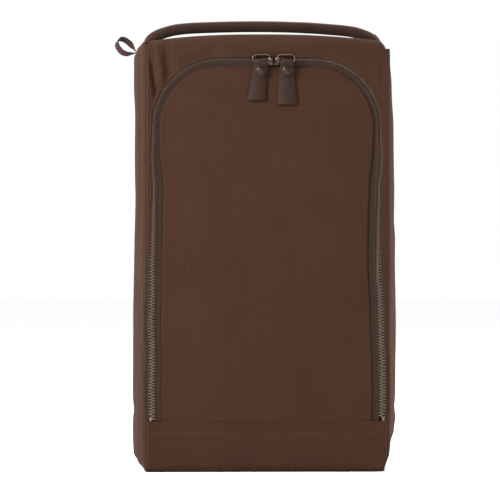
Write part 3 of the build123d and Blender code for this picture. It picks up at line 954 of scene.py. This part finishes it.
def tape_behind(name, start, end, body):
    """The edge of a tape behind the teeth."""
    stations = spaced(0.0, ARCH, 300)

    def place(i, j):
        x, z, _ = arch_point(stations[i], start + (end - start) * j)
        return x, CHAIN_Y - 0.45 * MM, z

    sheet(name, len(stations), 2, place, lambda i, j: (stations[i], j * abs(end - start)), 0.3 * MM,
          math.copysign(1, -end), tape_cloth, body, "zip_tape")


TOOTH_PITCH = 2.5 * MM
TOOTH_MIDDLE = 1.15          # of a tooth's length, in millimetres from the meeting line
# (along the zip, away from the meeting line) round a tooth, in millimetres
TOOTH_HALF = [(-0.60, 2.9), (-0.60, 0.7), (-0.47, -0.1), (-0.27, -0.65)]
TOOTH = TOOTH_HALF + [(-a, b) for a, b in reversed(TOOTH_HALF)]
# (depth in millimetres, share of the full size) through a tooth
TOOTH_LEVELS = [(-1.35, 0.72), (-1.22, 0.93), (-0.9, 1.0), (0.9, 1.0), (1.22, 0.93), (1.35, 0.72)]


def tooth_row(name, way, start, body, node_name):
    """One row of cast teeth: way is 1 outside the meeting line and -1 inside it."""
    mesh = bmesh.new()
    for number in range(int((ARCH - start) / TOOTH_PITCH)):
        x, z, out = arch_point(start + number * TOOTH_PITCH)
        outward = Vector((out[0], 0, out[1])) * way
        ahead = Vector((out[1], 0, -out[0]))
        tilt = rng.uniform(-0.04, 0.04)
        grow = rng.uniform(0.97, 1.03)
        rings = []
        for depth, share in TOOTH_LEVELS:
            centre = Vector((x, CHAIN_Y + depth * MM, z))
            rings.append([mesh.verts.new(
                centre + (outward * ((b - TOOTH_MIDDLE) * (0.5 + 0.5 * share) + TOOTH_MIDDLE)
                          + ahead * (a * share + tilt * b) * grow) * MM) for a, b in TOOTH])
        skin(mesh, rings)
    wear(built(name, mesh), teeth_metal, body, "antique_brass", node_name)


tape_strip("inner_tape", bare_teeth, -13.0 * MM, "door", "zipper_inner_tape")
tape_strip("outer_tape", lambda x, z: 2.7 * MM, 6.0 * MM, "bag", "zipper_outer_tape")
tape_behind("inner_tape_edge", -0.8 * MM, -3.6 * MM, "door")
tape_behind("outer_tape_edge", 0.8 * MM, 5.0 * MM, "bag")
tooth_row("outer_teeth", 1, 3.0 * MM, "bag", "zipper_outer_teeth")
tooth_row("inner_teeth", -1, 1.75 * MM, "door", "zipper_inner_teeth")


# ---- sliders, rings, pulls and rivets ----

def slab(mesh, outline, axis, low, high):
    """Adds a plate with an outline in the plane across axis, from low to high along it."""
    ends = [[mesh.verts.new((a, level, b) if axis == "Y" else (a, b, level)) for a, b in outline]
            for level in (low, high)]
    skin(mesh, ends)


def rounded(name, mesh, width, segments=3):
    """Finishes a built mesh with softened edges."""
    for face in mesh.faces:
        face.smooth = True
    piece = built(name, mesh)
    soft = piece.modifiers.new("soft", "BEVEL")
    soft.width = width
    soft.segments = segments
    soft.limit_method = "ANGLE"
    soft.angle_limit = math.radians(35)
    return bake_modifiers(piece)


def middle_and_half(low, high, axis):
    """The middle and half the size of a box along an axis."""
    return (low[axis] + high[axis]) / 2, (high[axis] - low[axis]) / 2


# outline of a slider's plate and of its lip as shares of its size, (towards the nose, outwards)
SHIELD = [(-1.0, 0.66), (-0.2, 0.72), (0.3, 0.97), (0.8, 0.94), (1.0, 0.72), (0.82, 0.14)]
LIP = [(-0.75, 0.56), (-0.2, 0.62), (0.3, 0.86), (0.3, 0.99), (-0.2, 0.76), (-0.75, 0.7)]


def slider(side, name):
    """A slider's shield-shaped plates, lips, post and crown."""
    low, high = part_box(f"slider_{name}_body")
    middle, half = middle_and_half(low, high, 0)
    level, wide = middle_and_half(low, high, 2)
    plate = 1.2 * MM

    def at(shares, way=1):
        return [(middle - side * half * a, level + way * wide * b) for a, b in shares]

    shield = at(SHIELD) + at(SHIELD[::-1], -1)
    mesh = bmesh.new()
    slab(mesh, shield, "Y", low[1], low[1] + plate)
    slab(mesh, shield, "Y", high[1] - plate, high[1])
    post = middle - side * half * 0.62
    slab(mesh, [(post + a * 1.4 * MM, level + b * 0.7 * MM) for a, b in ((-1, -1), (1, -1), (1, 1), (-1, 1))],
         "Y", low[1] + 1.0 * MM, high[1] - 1.0 * MM)
    for way in (-1, 1):
        slab(mesh, at(LIP, way), "Y", low[1] + 1.1 * MM, low[1] + 2.2 * MM)
    wear(rounded(f"slider_{name}_shell", mesh, 0.35 * MM), brass, f"slider_{name}",
         "antique_brass", f"slider_{name}_body")

    low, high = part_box(f"slider_{name}_crown")
    middle, half = middle_and_half(low, high, 0)
    rise = high[1] - low[1]
    thickness = 1.0 * MM
    outer, inner = [
        [(middle + (half - cut) * math.cos(math.pi * k / 12),
          high[1] - (rise - cut) * math.sin(math.pi * k / 12) ** 0.62) for k in range(13)]
        for cut in (0.0, thickness)]
    mesh = bmesh.new()
    slab(mesh, outer + inner[::-1], "Z", low[2], high[2])
    wear(rounded(f"slider_{name}_bridge", mesh, 0.25 * MM), brass, f"slider_{name}",
         "antique_brass", f"slider_{name}_crown")


def ring_link(name):
    """An oval wire link. Gives the wire's depth and the height of its lower run."""
    low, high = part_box(f"ring_{name}")
    y, wire = middle_and_half(low, high, 1)
    corner = 0.499 * (high[2] - low[2] - 2 * wire)
    path = [(x, y, z) for x, z in rounded_box((low[0] + wire, low[2] + wire),
                                              (high[0] - wire, high[2] - wire), corner, 8)]
    wear(sweep(f"ring_{name}_wire", path, lambda i: circle(wire, 14), True, (0, 1, 0)), brass,
         f"ring_{name}", "antique_brass", f"ring_{name}")
    return y, low[2] + wire


# shares of a rivet cap's (radius, rise) from its rim to its top
DOME = [(1.0, 0.0), (1.0, 0.22), (0.96, 0.36), (0.86, 0.52), (0.7, 0.72), (0.5, 0.88), (0.28, 0.97),
        (0.001, 1.0)]


def leather_pull(side, name, lean, tail_width, fold_rise):
    """A strip folded over the ring, pinched by a rivet, with a flared tail and a rounded flap."""
    wire_y, wire_z = ring_link(name)
    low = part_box(f"pull_{name}")[0]
    cap_low, cap_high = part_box(f"rivet_{name}_cap")
    middle, reach = middle_and_half(cap_low, cap_high, 0)
    rivet = (cap_low[2] + cap_high[2]) / 2
    thickness = 1.7 * MM
    fold = 1.1 * MM + thickness / 2
    back, front = wire_y + fold, wire_y - fold
    pinch = back - thickness - 0.05 * MM
    turn_height = wire_z + fold_rise
    tail_steps = 40
    path = []
    for share in spaced(0.0, 1.0, tail_steps):
        curl = 0.35 * MM * math.sin(math.pi * share) - 0.5 * MM * (1 - smooth(0, 0.35, share))
        path.append((back + curl, low[2] + (wire_z - low[2]) * share))
    if fold_rise > 0:
        path.append((back, turn_height))
    for k in range(1, 13):
        turn = math.pi * k / 12
        path.append((wire_y + fold * math.cos(turn), turn_height + fold * math.sin(turn)))
    foot = rivet - 5.0 * MM
    drop = wire_z - 3.0 * MM
    for share in spaced(0.0, 1.0, 7)[1:]:
        path.append((front + (pinch - front) * smooth(0, 1, share), wire_z + (drop - wire_z) * share))
    path += [(pinch, drop + (foot - drop) * share) for share in spaced(0.0, 1.0, 24)[1:]]
    lengths = lengths_along(path)
    fold_at = lengths[tail_steps]
    neck, flap = 9.6 * MM, 11.6 * MM

    def width(i):
        share = lengths[i] / fold_at
        if share < 1:
            base = tail_width + (neck - tail_width) * share ** 1.15
            return base + (0.5 * MM * math.sin(math.pi * share) if side > 0 else 0.2 * MM)
        end = lengths[-1] - lengths[i]
        if end < flap / 2:
            return 2 * math.sqrt(max(1e-9, (flap / 2) ** 2 - (flap / 2 - max(end, 0.12 * MM)) ** 2))
        return neck + (flap - neck) * smooth(fold_at + 2 * MM, fold_at + 9 * MM, lengths[i])

    mesh = bmesh.new()
    bevel = 0.42 * MM
    rings = []
    for i, (y, z) in enumerate(path):
        before, after = path[max(0, i - 1)], path[min(len(path) - 1, i + 1)]
        out = Vector((1, 0, 0)).cross(Vector((0, after[0] - before[0], after[1] - before[1])).normalized())
        x = middle + lean * (1 - min(1.0, lengths[i] / fold_at)) ** 1.1
        half, thick = max(width(i) / 2, 0.3 * MM), thickness / 2
        soft = min(bevel, half * 0.6)
        front_side = [(-half, thick - soft), (-half + soft, thick), (0, thick * 1.04), (half - soft, thick),
                      (half, thick - soft)]
        corners = front_side + [(-a, -b) for a, b in front_side]
        rings.append([mesh.verts.new(Vector((x + a, y, z)) + out * b) for a, b in corners])
    for k, face in skin(mesh, rings):
        face.smooth = k not in (None, 4, 9)
        face.material_index = 1 if k in (None, 3, 4, 5, 8, 9, 0) else 0
    wear(built(f"pull_{name}_strip", mesh), [leather, raw_edge], f"pull_{name}", "leather", f"pull_{name}")

    rise = (cap_high[1] - cap_low[1]) * 1.15
    dome = [(reach * share, cap_high[1] - rise * up) for share, up in DOME]
    mesh = bmesh.new()
    skin(mesh, [[mesh.verts.new((middle + a, y, rivet + b)) for a, b in circle(radius, 32)]
                for radius, y in dome])
    wear(built(f"rivet_{name}_dome", mesh), rivet_metal, f"pull_{name}", "rivet_metal", f"rivet_{name}_cap")


slider(-1, "left")
slider(1, "right")
leather_pull(-1, "left", -3.6 * MM, 14.9 * MM, 0.0)
leather_pull(1, "right", 0.4 * MM, 16.4 * MM, 0.2 * MM)


# ---- handle ----

# (x, below the handle's crown) along the grip's middle, in millimetres
GRIP_LINE = [(-99.5, -15.0), (-96.5, -10.5), (-87.5, -5.9), (-71, -2.2), (-40, -0.6), (-4, 0.0),
             (30, -0.7), (55, -2.2), (75.5, -4.3), (88.5, -8.3), (94, -12.5), (96, -15.0)]
GRIP_UPRIGHT, GRIP_ACROSS, GRIP_LAP = 4.7 * MM, 4.6 * MM, 0.45 * MM


def handle():
    """The rolled grip and the flattened ends that the side seams hold."""
    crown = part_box("handle_cover")[1][2] - 4.75 * MM
    path = smooth_path([(x * MM, 0, crown + z * MM) for x, z in GRIP_LINE], 12)
    level = (0, 1, 0)

    def section(i):
        points = []
        fat = 1.0 + 0.025 * noise.noise(Vector((i / (len(path) - 1) * 22, 0, 3)))
        for across, up in circle(1.0, 40):
            lapped = GRIP_LAP * (smooth(0.62, 0.78, up) if across < 0.1 else smooth(0.9, 1.0, up))
            points.append((across * (GRIP_ACROSS * fat + lapped), up * (GRIP_UPRIGHT * fat + lapped * 0.4)))
        return points

    grip = sweep("handle_grip", path, section, reference=level)
    flatten(grip, lambda spot: (spot.y * 1.6 + spot.z * 0.2, spot.x))
    wear(grip, handle_cloth, "handle", "handle_canvas", "handle_cover")
    filled, stitched = path[19:-30], path[20:-22]        # both stop short of the sewn ends
    filling = sweep("handle_filling", filled, lambda i: circle(3.1 * MM), reference=level)
    wear(filling, filler, "handle", "handle_filler", "handle_core")
    top = [point + Vector((0, -3.75 * MM, 3.05 * MM)) for point in stitched]
    stitch_row("handle_stitches", top, (0, -0.6, 0.8), "handle", "handle_canvas", 2.9 * MM, 2.1 * MM,
               0.24 * MM)
    for side, name, end in ((-1, "left", path[0]), (1, "right", path[-1])):
        seam = shoulder(side)
        ends = smooth_path([(end.x - side * 5 * MM, 0, end.z + 6 * MM),
                            (end.x - side * 0.4 * MM, 0, end.z + 1.2 * MM),
                            (end.x + side * 1.6 * MM, 0, seam + 1.4 * MM),
                            (end.x + side * 3.6 * MM, 0, seam - 2.5 * MM)], 8)

        def flattened(i, total=len(ends) - 1):
            share = smooth(0.25, 1.0, i / total)
            lip = (0.75 + 0.25 * smooth(0.0, 0.12, i / total)) * MM
            return circle((5.1 + 3.4 * share) * lip, 28, (5.2 - 3.4 * share) * lip)

        tab = sweep(f"handle_{name}_end", ends, flattened, reference=level)
        flatten(tab, lambda spot: (spot.y, spot.z + spot.x))
        wear(tab, handle_cloth, "bag", "handle_canvas", f"handle_tab_{name}")


handle()


# ---- ribbon hang loop ----

# (x, z) round the loop from its root, in millimetres
RIBBON_LINE = [(1.4, -0.6), (-0.6, -0.4), (-4.6, -1.2), (-8.6, -1.0), (-12.6, 1.2), (-15.6, 5.4),
               (-16.2, 9.0), (-13.8, 11.6), (-9.8, 11.2), (-5.4, 8.2), (-2.2, 4.6), (-0.2, 1.8), (1.4, 0.6)]


def ribbon_loop():
    """A striped ribbon, doubled into a loop and caught in the top of the left seam."""
    low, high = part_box("hang_loop")
    width = high[1] - low[1]
    root = Vector((high[0] - 1.1 * MM, (low[1] + high[1]) / 2, low[2] + 1.4 * MM))
    path = smooth_path([root + Vector((x * MM, 0, z * MM)) for x, z in RIBBON_LINE])
    turn = Matrix.Rotation(math.radians(-24), 3, "X") @ Matrix.Rotation(math.radians(20), 3, "Z")
    across = spaced(-0.5, 0.5, 8)
    lengths = lengths_along(path)

    def place(i, j):
        lean = smooth(0.0, 9 * MM, min(lengths[i], lengths[-1] - lengths[i]))
        plain = Vector((0, across[j] * width * (0.75 + 0.25 * lean), 0))
        return path[i] + plain.lerp(turn @ plain, lean)

    piece = sheet("ribbon_strip", len(path), len(across), place,
                  lambda i, j: (lengths[i], (across[j] + 0.5) * width), 0.55 * MM, 0.0, ribbon_cloth, None,
                  "ribbon", "hang_loop")
    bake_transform(piece)


ribbon_loop()


# ---- inside the base ----

def base_sheet(name, low, high, material, slot):
    """A flat layer on the floor of the bag."""
    across, deep = 97 * MM, 57 * MM
    mesh = bmesh.new()
    slab(mesh, rounded_box((-across, -deep), (across, deep), 9 * MM, 6), "Z", low, high)
    wear(rounded(f"{name}_sheet", mesh, 0.15 * MM, 1), material, "bag", slot, name)


base_sheet("base_board", 2.2 * MM, 4.0 * MM, stiffener, "board")
base_sheet("base_cover", 4.05 * MM, 4.6 * MM, lining_cloth, "lining")


# ---- the frame's own pieces that show ----

for material, names in ((lining_cloth, ["door_lining"]),
                        (binding_cloth, ["front_seam_binding", "back_seam_binding"]),
                        (teeth_metal, ["zipper_end_stops"]),
                        (brass, ["slider_left_pawl", "slider_right_pawl"]),
                        (rivet_metal, ["rivet_left_base", "rivet_right_base"])):
    for name in names:
        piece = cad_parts[name]
        piece.data.materials.clear()
        piece.data.materials.append(material)


# ---- floor, light and camera ----

BAG_MIDDLE = Vector((0, 0, 0.19))
FLOOR_HALF = 8.0
CAMERA_DISTANCE = 2.4635
CAMERA_TURN = math.radians(1.8)      # to the left of straight ahead
CAMERA_LENS = 205.5
CAMERA_AIM = 186.7 * MM              # height
CAMERA_ASIDE = -12.4 * MM            # the bag stands a little to the right of the frame's middle
# name, place, size and power
LAMPS = [("key", (-0.75, -0.6, 0.75), 0.35, 20.0), ("left", (-1.7, 0.3, 0.6), 1.0, 8.0),
         ("right", (1.7, 0.35, 0.6), 1.0, 54.0), ("top", (0.0, 0.15, 1.9), 1.0, 18.0)]


def aimed(name, data, place, target):
    """A lamp or camera at a place, turned to a target."""
    holder = link(name, data)
    holder.location = place
    holder.rotation_euler = (target - Vector(place)).to_track_quat("-Z", "Y").to_euler()
    return holder


def studio():
    """A pale floor under a bright, soft sky, with lamps at both sides."""
    material, tree, surface = shader("paper", 0.9, Specular_IOR_Level=0.1)
    grain = cloud(tree, solid_place(tree, 30.0), 1.0)
    tree.links.new(ramp(tree, grain, [(0.3, (0.96, 0.96, 0.96)), (0.7, (0.98, 0.98, 0.98))]),
                   surface.inputs["Base Color"])
    floor = grid("floor", 2, 2, lambda i, j: (FLOOR_HALF * (2 * i - 1), FLOOR_HALF * (2 * j - 1),
                                         -0.2 * MM))
    floor.data.materials.append(material)

    world = bpy.data.worlds.new("studio")
    bpy.context.scene.world = world
    world.use_nodes = True
    sky = world.node_tree.nodes["Background"]
    sky.inputs["Color"].default_value = (1.0, 1.0, 1.0, 1)
    sky.inputs["Strength"].default_value = 1.0
    for name, place, size, power in LAMPS:
        lamp = bpy.data.lights.new(name, "AREA")
        lamp.size = size
        lamp.energy = power
        aimed(name, lamp, place, BAG_MIDDLE)


def camera():
    """A long lens, level with the middle of the bag and a little to its left."""
    lens = bpy.data.cameras.new("camera")
    lens.sensor_width = 36.0
    lens.lens = CAMERA_LENS
    lens.clip_end = 20
    target = Vector((math.cos(CAMERA_TURN), -math.sin(CAMERA_TURN), 0)) * CAMERA_ASIDE
    target.z = CAMERA_AIM
    away = Vector((-math.sin(CAMERA_TURN), -math.cos(CAMERA_TURN), 0))
    bpy.context.scene.camera = aimed("camera", lens, target + away * CAMERA_DISTANCE, target)
    bpy.context.scene.view_settings.view_transform = "Standard"


studio()
camera()
